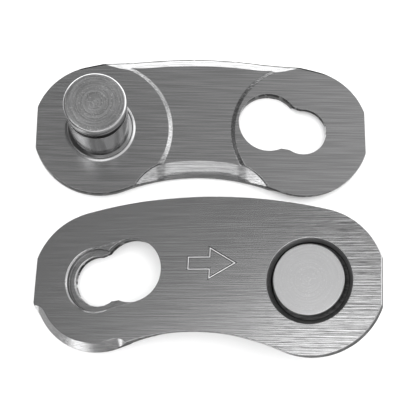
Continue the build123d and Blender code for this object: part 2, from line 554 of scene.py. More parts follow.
@dataclass(frozen=True)
class PlateMasks:
    """Where the features of a plate lie.

    Facings are cosines with the outward axis, heights and places are millimetres in the half's own frame.
    """

    face: Span = (0.25, 0.60)                 # faces and bevels, against the walls
    level: Span = (0.93, 0.99)                # flat faces, against the bevels
    outer: Span = (0.90, 0.99)                # the outer face
    outer_bevel: Span = (0.30, 0.50)          # bevels that face outwards
    inner_bevel: Span = (-0.50, -0.30)        # the rest faces inwards
    waist_side: Span = (-0.55, -0.15)         # walls that face forwards, by the cosine with the back's axis

    worked: Span = (1.5, 8.5)                 # where the heavy brushing grows, along x less some y
    worked_skew: float = 0.45
    worked_full: Span = (0.0, 0.35)           # how soon its lines replace the fine ones

    pocket_edge: float = 0.03                 # half the softness of the pocket's mouth
    pocket_deep: Span = (-0.62, -0.58)
    pocket_face: Span = (-0.10, -0.05)        # level steel above this is the outer face
    pocket_wall: Span = (-0.26, -0.18)        # from the pocket's wall to its cone

    edge_shade: Span = (0.10, 0.08)                 # how far in from the back's edge its painted dark line begins
    edge_shade_side: Span = (-0.4, -0.2)

    mark_low: Span = (-0.12, -0.09)           # foot of the arrow's line
    mark_high: Span = (-0.055, -0.03)
    mark_wall: Span = (-0.1, 0.1)
    mark_box: tuple[Span, ...] = ((-1.0, -0.9), (2.4, 2.5), (-0.1, 0.0), (2.0, 2.1))

    # where the painted shade on the waist bevel's shoulders lies: across x, then towards the waist
    shaded_shoulders: tuple[Span, ...] = ((2.15, 2.4), (2.65, 2.9), (0.0, 1.0))
    ragged_bevel: Span = (2.9, 3.3)           # the back's bevel, by how far it lies from the middle

    clean_back: Span = (-0.72, -0.48)         # where the clean cut of the walls begins
    clean_waist: Span = (-0.48, -0.36)        # and where in the walls on the waist's side
    clean_top: Span = (-0.16, -0.12)          # their ragged rim, darker on the waist's side as painted shade
    tear: Span = (0.52, 0.60)
    edge_shade_tear: Span = (0.32, 0.42)


@dataclass(frozen=True)
class BrushedSteel:
    """Stamped plate, brushed along its length, with coined bevels and roughly sheared walls.

    A tone is a factor on the steel's colour.
    """

    colour: Triple = (0.62, 0.62, 0.625)
    rough: float = 0.23
    wall_rough: float = 0.10                  # what the walls add to the roughness
    line_rough: float = 0.06                  # what the brushed lines add
    pocket_rough: float = 0.2                 # what the pocket adds

    streak: float = 0.26                      # how strongly the brushing changes the tone
    calm: float = 0.28                        # how strong it is on the outer face, against the inner face
    heavy: float = 1.9                        # how much stronger it is on the outer face round the rivet head
    flecked: float = 0.75                     # how strongly short lines change the tone there
    cloudy: float = 0.07                      # how strongly broad bands change the tone
    outer_bevel_sheen: float = 0.20                      # painted sheen: how much lighter the outer side's bevels are
    coarse: float = 0.60                      # how strongly short lines change the inner side's bevels
    coarse_back: float = 0.45                 # how much less the back's bevel
    painted_shoulder_shade: float = 0.35                      # painted shade: how much darker the shoulders of the waist's bevel are

    burnished: float = 0.42                   # tone of the walls' clean cut, darker than the faces: partly the cut's own finish, partly painted shade
    burnished_least: float = 0.7
    burnished_gain: float = 0.6               # what the tears add to it
    torn_and_shaded: float = 0.03                        # tone of the deep tears near the inner face, near black: real tearing, deepened by painted shade
    waist_wall_shade: float = 0.45                  # painted shade: how much darker they are on the waist's side
    ragged: float = 1.0                       # painted shade: how far they also show along the rim there
    edge_shade: float = 0.05                        # painted shade: tone of the fine dark line along the outer edge of the back's bevel
    pocket: float = 0.16                      # painted shade: tone deep inside the rivet head's pocket
    pocket_cone_shade: float = 0.62                 # painted shade, lighter: tone of the pocket's conical mouth
    mark: float = 0.42                        # how matt the foot of the arrow's line is
    mark_light: float = 0.5                   # how much lighter it is
    mark_wall_shade: float = 0.85                   # painted shade: how much darker the sides of the line are

    depth: float = 3.0e-6                     # depth of the brushed lines in metres
    outer_depth: float = 0.6                  # how much shallower they are on the outer face
    worked_depth: float = 0.7                 # how much deeper round the rivet head
    tear_depth: float = 6                     # how many times deeper the tears in the walls are

    fine: Grain = Grain((0.30, 14.0, 14.0), 1.0, spread=(0.25, 0.75))
    long: Grain = Grain((0.03, 10.0, 10.0), 1.0, spread=(0.25, 0.75))
    short: Grain = Grain((0.16, 15.0, 15.0), 0.0, spread=(0.20, 0.80))
    flecks: Grain = Grain((0.9, 17.0, 17.0), 2.0, 0.6, (0.28, 0.58))
    bands: Grain = Grain((0.12, 2.4, 2.4))
    dashes: Grain = Grain((0.55, 12.0, 12.0), 2.0, 0.7, (0.30, 0.70))
    tears: Grain = Grain((3.2, 3.2, 0.8), 3.0, 0.6)
    where: PlateMasks = PlateMasks()

    def wall_tone(self, z: Signal, low_wall: Signal, tears: Signal) -> Signal:
        """Tone of the sheared walls: clean near the outer face, torn near the inner one, darker than the
        faces as painted shade and darkest on the waist's side.

        Args:
            z: Height.
            low_wall: Mask of the walls on the waist's side.
            tears: Noise of the tears.

        Returns:
            The tone.
        """
        where = self.where
        torn_and_shaded = self.torn_and_shaded + tears.rise(where.tear) * (1 - low_wall * self.waist_wall_shade)
        clean = z.rise(where.clean_back) * (1 - low_wall) + z.rise(where.clean_waist) * low_wall
        clean = clean * (1 - z.rise(where.clean_top) * low_wall * self.ragged)
        return blend(torn_and_shaded, self.burnished * (self.burnished_least + tears * self.burnished_gain), clean)

    def bevel_tone(self, at: OwnFrame, level: Signal, up: Signal) -> Signal:
        """What the inner side's bevels add to the tone, with painted shade on the shoulders of the waist's
        bevel.

        Args:
            at: The half's own frame.
            level: Mask of the flat faces.
            up: Cosine with the outward axis.

        Returns:
            The difference in tone.
        """
        where = self.where
        bevel = up.fall(where.inner_bevel) * (1 - level)
        dashes = at.bench.noise(at.spot, self.dashes)
        side_from, side_to, back = where.shaded_shoulders
        # painted shade on the shoulders of the waist's bevel
        shaded_shoulders = abs(at.x).within(side_from, side_to) * at.y.fall(back)
        ragged = 1 - abs(at.y).fall(where.ragged_bevel) * self.coarse_back
        return bevel * (dashes.swing() * self.coarse * ragged - shaded_shoulders * self.painted_shoulder_shade)

    def material(self, name: str, place: Place, plate: "LinkPlate") -> bpy.types.Material:
        """Makes the finish for the plate of one half.

        Args:
            name: Name of the material.
            place: Where the half lies.
            plate: The plate's sizes.

        Returns:
            The material.
        """
        material, bench = new_material(name)
        at = OwnFrame(bench, place)
        x, y, z = at.x, at.y, at.z
        where = self.where
        up = at.facing(Axis.OUT)
        low_wall = at.facing(Axis.BACK).fall(where.waist_side)
        face, level = abs(up).rise(where.face), abs(up).rise(where.level)
        outer = up.rise(where.outer)
        worked = outer * (x - y * where.worked_skew).rise(where.worked)

        mouth = plate.pocket_mouth[0]
        near_pin = length(x - PIN_X, y).fall((mouth - where.pocket_edge, mouth + where.pocket_edge))
        pocket = near_pin * z.rise(where.pocket_deep) * (1 - level * z.rise(where.pocket_face))
        edge_shade = (plate.back_r - where.edge_shade[0], plate.back_r - where.edge_shade[1])
        edge = length(x, y - plate.back_y).rise(edge_shade) * up.fall(where.edge_shade_side)
        left, right, low, high = where.mark_box
        arrow = x.within(left, right) * y.within(low, high)
        mark = z.within(where.mark_low, where.mark_high) * level * arrow
        mark_wall = arrow * (1 - level) * up.rise(where.mark_wall)

        fine, long, short, flecks, bands, tears = (
            bench.noise(at.spot, grain)
            for grain in (self.fine, self.long, self.short, self.flecks, self.bands, self.tears)
        )
        lines = blend(fine, (long + short) * 0.5, worked.rise(where.worked_full))
        streak = self.streak * (1 - outer * (1 - self.calm) + worked * self.heavy)
        brushed = 1 + lines.swing() * streak + bands.swing() * self.cloudy
        brushed = brushed + worked * flecks.swing() * self.flecked
        # painted sheen: the outer side's bevels are made lighter in colour
        brushed = brushed + up.rise(where.outer_bevel) * (1 - level) * self.outer_bevel_sheen
        # painted shade on the sides of the arrow's line
        brushed = brushed + self.bevel_tone(at, level, up) - mark_wall * self.mark_wall_shade
        # the walls take the wall tone: real shear zones, darkened by painted shade
        tone = blend(self.wall_tone(z, low_wall, tears), brushed, face)
        # painted shade in the rivet head's pocket: dark deep down, lighter on its cone
        pocket_shade = blend(self.pocket, self.pocket_cone_shade, z.rise(where.pocket_wall))
        # painted shade: a dashed dark line along the back's outer edge
        dark_edge = edge * tears.rise(where.edge_shade_tear) * (1 - self.edge_shade)
        tone = tone * (1 - pocket * (1 - pocket_shade)) * (1 - dark_edge)
        rough = self.rough + (1 - face) * self.wall_rough + lines.swing() * self.line_rough
        relief = lines * face * (1 - outer * self.outer_depth + worked * self.worked_depth)
        relief = relief + tears * (1 - face) * (1 - pocket) * self.tear_depth
        bench.surface({
            "Base Color": bench.tint(self.colour, tone + mark * self.mark_light),
            "Metallic": 1 - mark * self.mark,
            "Roughness": rough + pocket * self.pocket_rough,
            "Normal": bench.bump(self.depth, relief),
        })
        return material


@dataclass(frozen=True)
class PinMasks:
    """Where the features of a pin lie, in millimetres or as cosines with the outward axis."""

    end: Span = (0.75, 0.97)                  # the end faces and what else is nearly level
    head: Span = (-0.6, -0.5)
    tip_wall: Span = (-4.80, -4.76)
    groove_r: Span = (1.80, 1.84)
    groove_low: Span = (-4.84, -4.78)
    groove_high: Span = (-4.17, -4.13)
    groove_lit: Span = (0.2, 1.1)             # where light gets into the groove, along x less some y
    lit_along: float = 0.8
    lit_across: float = 0.2
    rim_highlight: Span = (-5.43, -5.30)
    rim_level: Span = (0.90, 0.98)
    swirl: Span = (0.5, 1.3)
    foot: Span = (-1.10, -1.02)
    foot_low: Span = (-1.2, -1.0)
    foot_high: Span = (-0.9, -0.8)
    tip_wall_shade: Span = (-5.25, -5.0)                # painted shade: from the clean end of the tip's wall to its dark foot by the groove
    collar_r: Span = (2.06, 2.10)


@dataclass(frozen=True)
class TurnedSteel:
    """Turned pin: rings on its end faces, drawn lines along its shank.

    A tone is a factor on the steel's colour.
    """

    colour: Triple = (0.62, 0.62, 0.625)
    rough: float = 0.16                       # of the shank
    tip_rough: float = 0.30                   # of the tip's face
    head_rough: float = 0.40                  # of the head's face
    ring_rough: float = 0.05                  # what the turned rings add

    tip: float = 1.06                         # tone of the tip's face
    head: float = 1.40                        # tone of the head's face
    head_matt: float = 0.06
    shank: float = 0.52                       # tone of the shank
    tip_wall: float = 0.55                    # tone of the wall round the tip
    foot: float = 0.60                        # tone of the cone at the shank's foot
    collar: float = 1.35
    groove: float = 0.15                      # painted shade: tone of the snap groove
    groove_light: float = 0.6                 # how much of its darkness goes where light gets in
    rim_highlight: float = 1.45                         # painted highlight: tone of the rounding round the tip's face
    ringed: float = 0.50                      # how strongly the turning changes the tone of the end faces
    specked: float = 1.3                      # how strongly the specks do
    head_plain: float = 0.8                   # how much less both show on the head
    swirl_rest: float = 0.5                   # how many of the specks lie outside the middle
    drawn: float = 0.9                        # how strongly the drawn lines change the tone of the shank
    threaded: float = 0.7                     # how bright the fine threads round the tip are

    depth: float = 6.0e-6                     # depth of the turned rings in metres
    head_depth: float = 0.6                   # how much shallower they are on the head

    rings: Grain = Grain((12.0, 0.7, 0.7), 2.0, 0.7, (0.28, 0.72))       # over radius, x and y
    specks: Grain = Grain((13.0, 13.0, 4.0), 1.0, spread=(0.60, 0.70))   # over x, y and radius
    lines: Grain = Grain((1.5, 1.5, 0.10), 2.0, 0.6, (0.35, 0.62))       # over x, y and height
    threads: Grain = Grain((16.0, 0.5, 0.5), 1.0, spread=(0.52, 0.62))   # over height, x and y
    where: PinMasks = PinMasks()

    def side_tone(self, bench: Bench, spot: Sequence[Signal], under_tip: Signal) -> Signal:
        """Tone of the pin's sides.

        Args:
            bench: Where the nodes go.
            spot: Place about the pin's axis.
            under_tip: Mask of the wall round the tip.

        Returns:
            The tone.
        """
        x, y, z = spot
        where = self.where
        lines = bench.noise(bench.vector(x, y, z), self.lines)
        threads = bench.noise(bench.vector(z, x, y), self.threads) * self.threaded
        sides = self.shank * (1 + lines.swing() * self.drawn)
        sides = blend(sides, self.foot, z.rise(where.foot))
        # painted shade: the tip's wall darkens towards the groove
        return blend(sides, self.tip_wall * z.fall(where.tip_wall_shade) + threads, under_tip)

    def material(self, name: str, place: Place) -> bpy.types.Material:
        """Makes the finish for the pin of one half.

        Args:
            name: Name of the material.
            place: Where the half lies.

        Returns:
            The material.
        """
        material, bench = new_material(name)
        at = OwnFrame(bench, place)
        x, y, z = at.x - PIN_X, at.y, at.z
        where = self.where
        radius = length(x, y)
        upright = abs(at.facing(Axis.OUT))
        face = upright.rise(where.end)
        head = z.rise(where.head) * face
        # painted shade in the snap groove, lighter where light gets in
        groove = radius.fall(where.groove_r) * z.within(where.groove_low, where.groove_high)
        lit = (x * where.lit_along - y * where.lit_across).rise(where.groove_lit)
        groove = groove * (1 - lit * self.groove_light)
        rim_highlight = z.fall(where.rim_highlight) * upright.fall(where.rim_level)

        rings = bench.noise(bench.vector(radius, x, y), self.rings)
        specks = bench.noise(bench.vector(x, y, radius), self.specks)
        swirl = blend(self.swirl_rest, 1.0, radius.fall(where.swirl))
        grain = (rings.swing() * self.ringed + specks * swirl * self.specked) * (1 - head * self.head_plain)
        level = blend(self.tip, self.head, head)
        level = blend(level, self.foot, z.within(where.foot_low, where.foot_high))
        sides = self.side_tone(bench, (x, y, z), z.fall(where.tip_wall) * (1 - face))
        tone = blend(sides, level + grain, face) * (1 - groove * (1 - self.groove))
        tone = blend(tone, self.collar, radius.rise(where.collar_r) * (1 - head))
        # painted highlight on the rounding round the tip's face
        tone = blend(tone, self.rim_highlight, rim_highlight)
        rough = self.rough + face * (self.tip_rough - self.rough) + head * (self.head_rough - self.tip_rough)
        bench.surface({
            "Base Color": bench.tint(self.colour, tone),
            "Metallic": 1 - head * self.head_matt,
            "Roughness": rough + rings.swing() * self.ring_rough,
            "Normal": bench.bump(self.depth, rings * face * (1 - head * self.head_depth)),
        })
        return material


# The link's pieces


@dataclass
class LinkPlate:
    """One stamped outer plate, from its blank to its eased edges. Sizes are in millimetres."""

    thick: float = 0.80
    end_r: float = 4.17
    back_r: float = 30.2
    waist_r: float = 12.75
    flat_x: float = 10.3                      # flats across the round ends
    edge_break: float = 0.05
    drawn_in: float = 0.003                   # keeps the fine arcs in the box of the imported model

    recess: float = 0.15
    disc_r: float = 4.27
    ramp: float = 0.25

    back_bevel_size: Flat = (0.63, 0.47)      # width and drop, measured in the recess
    back_bevel_half: float = 3.4
    run_out_r: float = 5.5
    run_out_turn: float = 36.0
    waist_bevel_in: Flat = (0.70, 0.25)       # inner slope of the waist's bevel
    waist_bevel_out: Flat = (0.27, 0.28)      # outer slope
    waist_knee: float = 0.20                  # how far each side of it the knee between them is softened
    knee_steps: int = 5
    waist_bevel_half: float = 1.55
    waist_run_out_r: float = 2.2
    waist_run_out_turn: float = 62.0
    waist_flank: Flat = (0.05, 0.02)          # width, and height over the recess where it begins
    nose_bevel_size: Flat = (0.50, 0.50)
    nose_from: float = -149.0
    nose_to: float = -69.0
    round_turn: float = 95.0                  # how far its rounded ends turn
    overrun: float = 0.3                      # how far a bevel's cutter runs on outside the edge

    seat_r: float = 1.475
    entry_r: float = 1.88
    travel: float = 2.22
    slope: float = 15.7
    neck_half: float = 1.39
    neck_at: float = 0.48
    neck_flare: float = 0.11
    ledge_r: float = 1.87
    ledge_depth: float = 0.40
    ledge_chamfer: float = 0.09
    seat_chamfer: float = 0.06
    lead_in_half: float = 1.90
    lead_in_depth: float = 0.07

    pocket_r: float = 2.17
    pocket_depth: float = 0.45
    pocket_mouth: Flat = (2.41, 0.24)         # radius at the face, depth of the cone
    rivet_neck_r: float = 1.55

    ease: float = 0.022                       # rounding of every edge
    ease_from: float = 9.0                    # that turns by this many degrees
    weld: float = 0.008
    flat_to: float = 0.4                      # faces that meet at less are one
    back_steps: int = 60
    shoulder_steps: int = 26
    end_steps: int = 44
    waist_steps: int = 48
    disc_steps: int = 180

    @property
    def recess_z(self) -> float:
        """Height of the recess between the discs."""
        return self.recess - self.thick

    @property
    def back_y(self) -> float:
        """Centre of the convex back."""
        return -sqrt((self.back_r - self.end_r) ** 2 - PIN_X ** 2)

    @property
    def waist_y(self) -> float:
        """Centre of the concave waist."""
        return -sqrt((self.waist_r + self.end_r) ** 2 - PIN_X ** 2)

    def outline(self, inset: float) -> list[Flat]:
        """Plan of the plate, drawn in by inset all round.

        Args:
            inset: Distance in from the edge.

        Returns:
            The plan's points, clockwise from the left end of the back.
        """
        lean = degrees(asin(PIN_X / (self.back_r - self.end_r)))
        dip = degrees(asin(PIN_X / (self.waist_r + self.end_r)))
        flat = degrees(acos((self.flat_x - inset - PIN_X) / (self.end_r - inset)))
        right, left = (PIN_X, 0), (SEAT_X, 0)
        end_r = self.end_r - inset
        stretches = [
            arc((0, self.back_y), self.back_r - inset, 90 + lean, 90 - lean, self.back_steps),
            arc(right, end_r, 90 - lean, flat, self.shoulder_steps)[1:],
            arc(right, end_r, -flat, -90 - dip, self.end_steps),
            arc((0, self.waist_y), self.waist_r + inset, 90 - dip, 90 + dip, self.waist_steps)[1:],
            arc(left, end_r, dip - 90, flat - 180, self.end_steps)[1:],
            arc(left, end_r, 180 - flat, 90 + lean, self.shoulder_steps)[:-1],
        ]
        return [point for stretch in stretches for point in stretch]

    def blank(self, name: str) -> bpy.types.Object:
        """The plate before anything is cut into it, its outer edge broken.

        Args:
            name: Name of the plate.

        Returns:
            The solid.
        """
        levels = [(self.edge_break, 0.0), (0.0, -self.edge_break), (0.0, -self.thick)]
        plans = [(self.outline(inset + self.drawn_in), z) for inset, z in levels]
        return skin(name, [[Vector((x, y, z)) for x, y in plan] for plan, z in plans])

    def recess_cutter(self) -> bpy.types.Object:
        """Makes the space between the raised discs of the inner side.

        Returns:
            The cutter.
        """
        reach = self.flat_x + PAST
        corners = [(-reach, -reach), (reach, -reach), (reach, reach), (-reach, reach)]
        slab = prism("recess", corners, -self.thick - PAST, self.recess_z)
        steep = self.ramp / self.recess
        profile = [
            (self.disc_r, -self.thick - 2 * PAST),
            (self.disc_r, -self.thick),
            (self.disc_r + steep * (self.recess + PAST), -self.thick + self.recess + PAST),
        ]
        discs = [stack("disc", (x, 0), profile, self.disc_steps) for x in (SEAT_X, PIN_X)]
        return cut(slab, discs)

    def bevel_section(self, slope: Sequence[Flat]) -> list[Flat]:
        """Section of a bevel's cutter.

        Args:
            slope: The bevel's points from the plate's edge inwards, as (distance in, height).

        Returns:
            The section's corners. Its first stretch runs on outside the edge.
        """
        (first_in, first_z), (next_in, next_z) = slope[:2]
        steep = (first_z - next_z) / (next_in - first_in)
        last_in, last_z = slope[-1]
        over_z = last_z + (PAST if last_z > first_z else -PAST)
        outside = (-self.overrun, first_z + steep * self.overrun)
        return [outside, *slope[1:], (last_in, over_z), (-self.overrun, over_z)]

    def bevel(self, slope: Sequence[Flat], path: Sequence[Turn]) -> bpy.types.Object:
        """Cutter of a bevel along a path without gaps.

        Args:
            slope: The bevel's points, as for bevel_section.
            path: The stretches of the path, in order.

        Returns:
            The cutter.
        """
        section = self.bevel_section(slope)
        rings = path[0].rings(section)
        for turn in path[1:]:
            rings += turn.rings(section)[1:]
        return skin("bevel", rings)

    def led_off(self, run: Turn, radius: float, turn: float) -> list[Turn]:
        """Path of a stretch that leaves the edge on a curve at both ends.

        Args:
            run: The stretch.
            radius: Radius of the curves.
            turn: How far each of them turns, in degrees.

        Returns:
            The path.
        """
        way = run.inward * (1 if run.stop > run.start else -1)
        reach = run.edge_r - run.inward * radius
        ends = []
        for angle, before, after in ((run.start, turn, 0), (run.stop, 0, turn)):
            far = (run.centre[0] + reach * cos(radians(angle)), run.centre[1] + reach * sin(radians(angle)))
            base = angle + (0 if run.inward > 0 else 180)
            ends.append(Turn(far, radius, 1, base - way * before, base + way * after))
        return [ends[0], run, ends[1]]

    def back_bevel(self) -> bpy.types.Object:
        """Makes the long bevel of the convex edge, inner side, with its curved run-outs.

        Returns:
            The cutter.
        """
        width, drop = self.back_bevel_size
        slope = [(0, self.recess_z + drop), (width * (drop + self.recess) / drop, -self.thick)]
        half = degrees(asin(self.back_bevel_half / self.back_r))
        run = Turn((0, self.back_y), self.back_r, -1, 90 - half, 90 + half)
        return self.bevel(slope, self.led_off(run, self.run_out_r, self.run_out_turn))

    def waist_bevel(self) -> bpy.types.Object:
        """Makes the two-slope bevel of the waist, inner side, with its steep flank and its run-outs.

        Returns:
            The cutter.
        """
        width, drop = self.waist_bevel_in
        knee_in, knee_drop = self.waist_bevel_out
        flank, up = self.waist_flank
        knee_z = self.recess_z + drop
        flank_in = knee_in + width * (drop + up) / drop
        foot = Vector((0, knee_z + knee_drop))
        knee = Vector((knee_in, knee_z))
        top = Vector((flank_in, self.recess_z - up))
        below, above = (knee + (end - knee).normalized() * self.waist_knee for end in (foot, top))
        steps = [i / self.knee_steps for i in range(self.knee_steps + 1)]
        bend = [below.lerp(knee, t).lerp(knee.lerp(above, t), t) for t in steps]
        slope = [tuple(point) for point in (foot, *bend, top, (flank_in + flank, -self.thick))]
        half = degrees(asin(self.waist_bevel_half / self.waist_r))
        run = Turn((0, self.waist_y), self.waist_r, 1, 90 - half, 90 + half)
        return self.bevel(slope, self.led_off(run, self.waist_run_out_r, self.waist_run_out_turn))

    def nose_bevel(self) -> bpy.types.Object:
        """Makes the bevel low on the slot end, outer side.

        Returns:
            The cutter.
        """
        width, drop = self.nose_bevel_size
        run = Turn((SEAT_X, 0), self.end_r, -1, self.nose_from, self.nose_to)
        return self.bevel([(0, -drop), (width, 0)], self.led_off(run, self.overrun, self.round_turn))

    def on_track(self, along: float, across: float) -> Flat:
        """Point on the slot's slope.

        Args:
            along: Distance along the slope from the seat.
            across: Distance across it.

        Returns:
            The point in plan.
        """
        turn = radians(self.slope)
        x = SEAT_X + along * cos(turn) - across * sin(turn)
        return (x, along * sin(turn) + across * cos(turn))

    def keyhole_cutters(self) -> list[bpy.types.Object]:
        """Makes the keyhole slot, its ledge and its lead-in.

        Returns:
            The cutters.
        """
        low = -self.thick - PAST
        entry = self.on_track(self.travel, 0)
        near = self.neck_half - self.neck_flare * self.neck_at
        far = self.neck_half + self.neck_flare * (self.travel - self.neck_at)
        neck = [(0, -near), (self.travel, -far), (self.travel, far), (0, near)]
        wide = self.lead_in_half
        lead_in = [(0, -wide), (self.travel, -wide), (self.travel, wide), (0, wide)]
        steep = 1 + PAST / self.ledge_chamfer
        seat = [
            (self.seat_r, low),
            (self.seat_r, -self.ledge_depth - self.seat_chamfer),
            (self.seat_r + self.seat_chamfer, -self.ledge_depth),
            (self.ledge_r, -self.ledge_depth),
            (self.ledge_r, -self.ledge_chamfer),
            (self.ledge_r + self.ledge_chamfer * steep, PAST),
        ]
        return [
            stack("seat", (SEAT_X, 0), seat),
            stack("entry", entry, [(self.entry_r, low), (self.entry_r, PAST)]),
            prism("neck", [self.on_track(*p) for p in neck], low, PAST),
            prism("lead-in", [self.on_track(*p) for p in lead_in], -self.lead_in_depth, PAST),
        ]

    def pocket_cutter(self) -> bpy.types.Object:
        """Makes the rivet head's pocket and the hole under it.

        Returns:
            The cutter.
        """
        mouth_r, mouth_z = self.pocket_mouth
        steep = (mouth_r - self.pocket_r) / mouth_z
        profile = [
            (mouth_r + steep * PAST, PAST),
            (self.pocket_r, -mouth_z),
            (self.pocket_r, -self.pocket_depth),
            (self.rivet_neck_r, -self.pocket_depth),
            (self.rivet_neck_r, -self.thick - PAST),
        ]
        return stack("pocket", (PIN_X, 0), profile)

    def build(self, name: str, marks: Sequence[bpy.types.Object] = ()) -> bpy.types.Object:
        """Makes the finished plate in its own frame.

        Args:
            name: Name of the piece.
            marks: Cutters for marks in the outer face.

        Returns:
            The plate.
        """
        cutters = [self.recess_cutter(), self.back_bevel(), self.waist_bevel(), self.nose_bevel()]
        cutters += [*self.keyhole_cutters(), self.pocket_cutter(), *marks]
        body = cut(self.blank(name), cutters)
        clean(body, self.weld, self.flat_to)
        ease_edges(body, self.ease, self.ease_from)
        return body


@dataclass
class ArrowMark:
    """Outline of an arrow cut into the outer face. Sizes are in millimetres."""

    y: float = 1.0
    tail_x: float = -0.70
    neck_x: float = 0.58
    tip_x: float = 2.08
    shaft_half: float = 0.35
    head_half: float = 0.87
    line: float = 0.12
    foot: float = 0.08
    depth: float = 0.07

    def outline(self, out: float) -> list[Vector]:
        """The arrow's corners, moved out of it by a distance with their corners kept sharp.

        Args:
            out: The distance, negative to move them in.

        Returns:
            The corners in plan.
        """
        upper = [(self.tip_x, 0.0), (self.neck_x, self.head_half), (self.neck_x, self.shaft_half)]
        upper.append((self.tail_x, self.shaft_half))
        corners = [Vector(p) for p in upper] + [Vector((x, -y)) for x, y in reversed(upper[1:])]
        moved = []
        for i, corner in enumerate(corners):
            before = (corner - corners[i - 1]).normalized()
            after = (corners[(i + 1) % len(corners)] - corner).normalized()
            miter = Vector((before.y + after.y, -before.x - after.x))
            moved.append(corner + miter * (out / (1 + before.dot(after))))
        return [point + Vector((0, self.y)) for point in moved]

    def cutter(self) -> bpy.types.Object:
        """Makes the ring that cuts the arrow's line, narrower at its foot.

        Returns:
            The cutter.
        """
        rise = (self.line - self.foot) / 2 / self.depth
        wide = self.line / 2 + rise * self.depth
        foot = self.foot / 2
        levels = [(wide, self.depth), (foot, -self.depth), (-foot, -self.depth), (-wide, self.depth)]
        rings = [[point.to_3d() + Vector((0, 0, z)) for point in self.outline(out)] for out, z in levels]
        return skin("arrow", rings, closed=True)


class Lathe:
    """Geometry Nodes tree that turns a half profile about the Z axis."""

    weld = 1e-4                       # points nearer than this become one

    def __init__(self) -> None:
        """Builds the tree with its named inputs."""
        self.tree = bpy.data.node_groups.new("lathe", "GeometryNodeTree")
        sockets = (
            ("Profile", "NodeSocketGeometry"),
            ("Segments", "NodeSocketInt"),
            ("Path Radius", "NodeSocketFloat"),
            ("Weld", "NodeSocketFloat"),
            ("Finish", "NodeSocketMaterial"),
        )
        for name, kind in sockets:
            self.tree.interface.new_socket(name, in_out="INPUT", socket_type=kind)
        self.tree.interface.new_socket("Turned", in_out="OUTPUT", socket_type="NodeSocketGeometry")
        bench = Bench(self.tree)
        given = bench.node("NodeGroupInput").outputs
        profile = bench.node("GeometryNodeMeshToCurve", inputs={"Mesh": given["Profile"]})
        path = bench.node(
            "GeometryNodeCurvePrimitiveCircle",
            {"mode": "RADIUS"},
            {"Resolution": given["Segments"], "Radius": given["Path Radius"]},
        )
        body = bench.node("GeometryNodeCurveToMesh", inputs={0: path.outputs[0], 1: profile.outputs[0]})
        welded = bench.node(
            "GeometryNodeMergeByDistance", inputs={"Geometry": body.outputs[0], "Distance": given["Weld"]}
        )
        smooth = bench.node("GeometryNodeSetShadeSmooth", inputs={"Geometry": welded.outputs[0]})
        real = bench.node("GeometryNodeRealizeInstances", inputs={0: smooth.outputs[0]})
        dressed = bench.node(
            "GeometryNodeSetMaterial", inputs={"Geometry": real.outputs[0], "Material": given["Finish"]}
        )
        bench.node("NodeGroupOutput", inputs={0: dressed.outputs[0]})

    def turn(
        self, name: str, profile: Sequence[Flat], finish: bpy.types.Material, segments: int
    ) -> bpy.types.Object:
        """Turns a profile into a solid.

        Args:
            name: Name of the solid.
            profile: Points of (radius, height), from axis to axis.
            finish: Its material.
            segments: Stretches round the axis.

        Returns:
            The solid, about the Z axis, as a plain mesh.
        """
        path_r = max(radius for radius, _ in profile)
        mesh = bpy.data.meshes.new(name)
        points = [(radius - path_r, -height, 0) for radius, height in profile]
        mesh.from_pydata(points, [(i, i + 1) for i in range(len(points) - 1)], [])
        piece = linked(name, mesh)
        turner = piece.modifiers.new("lathe", "NODES")
        turner.node_group = self.tree
        given = {"Segments": segments, "Path Radius": path_r, "Weld": self.weld, "Finish": finish}
        for item in self.tree.interface.items_tree:
            if item.in_out == "INPUT" and item.name in given:
                turner[item.identifier] = given[item.name]
        settle(piece)
        return piece


def rounded(corners: Sequence[tuple[float, float, float]], hold: float = 0.02) -> list[Flat]:
    """Profile whose corners are rounded, with a point held close to each side of a corner.

    Args:
        corners: Points of (radius, height, rounding), from axis to axis.
        hold: How far a held point lies from the rounding.

    Returns:
        The profile's points.
    """
    path = [corners[0][:2]]
    for before, corner, after in zip(corners, corners[1:], corners[2:]):
        here = Vector(corner[:2])
        back, onward = Vector(before[:2]) - here, Vector(after[:2]) - here
        opening = back.angle(onward)
        reach = corner[2] / tan(opening / 2)
        middle = (back.normalized() + onward.normalized()).normalized() * corner[2] / sin(opening / 2)
        spoke = back.normalized() * reach - middle
        bend = (pi - opening) * (1 if back.x * onward.y < back.y * onward.x else -1)
        if back.length > reach + 2 * hold:
            path.append(tuple(here + back.normalized() * (reach + hold)))
        steps = 2 + ceil(corner[2] / ROUND_STEP)
        for i in range(steps + 1):
            path.append(tuple(here + middle + Matrix.Rotation(bend * i / steps, 2) @ spoke))
        if onward.length > reach + 2 * hold:
            path.append(tuple(here + onward.normalized() * (reach + hold)))
    path.append(corners[-1][:2])
    return path


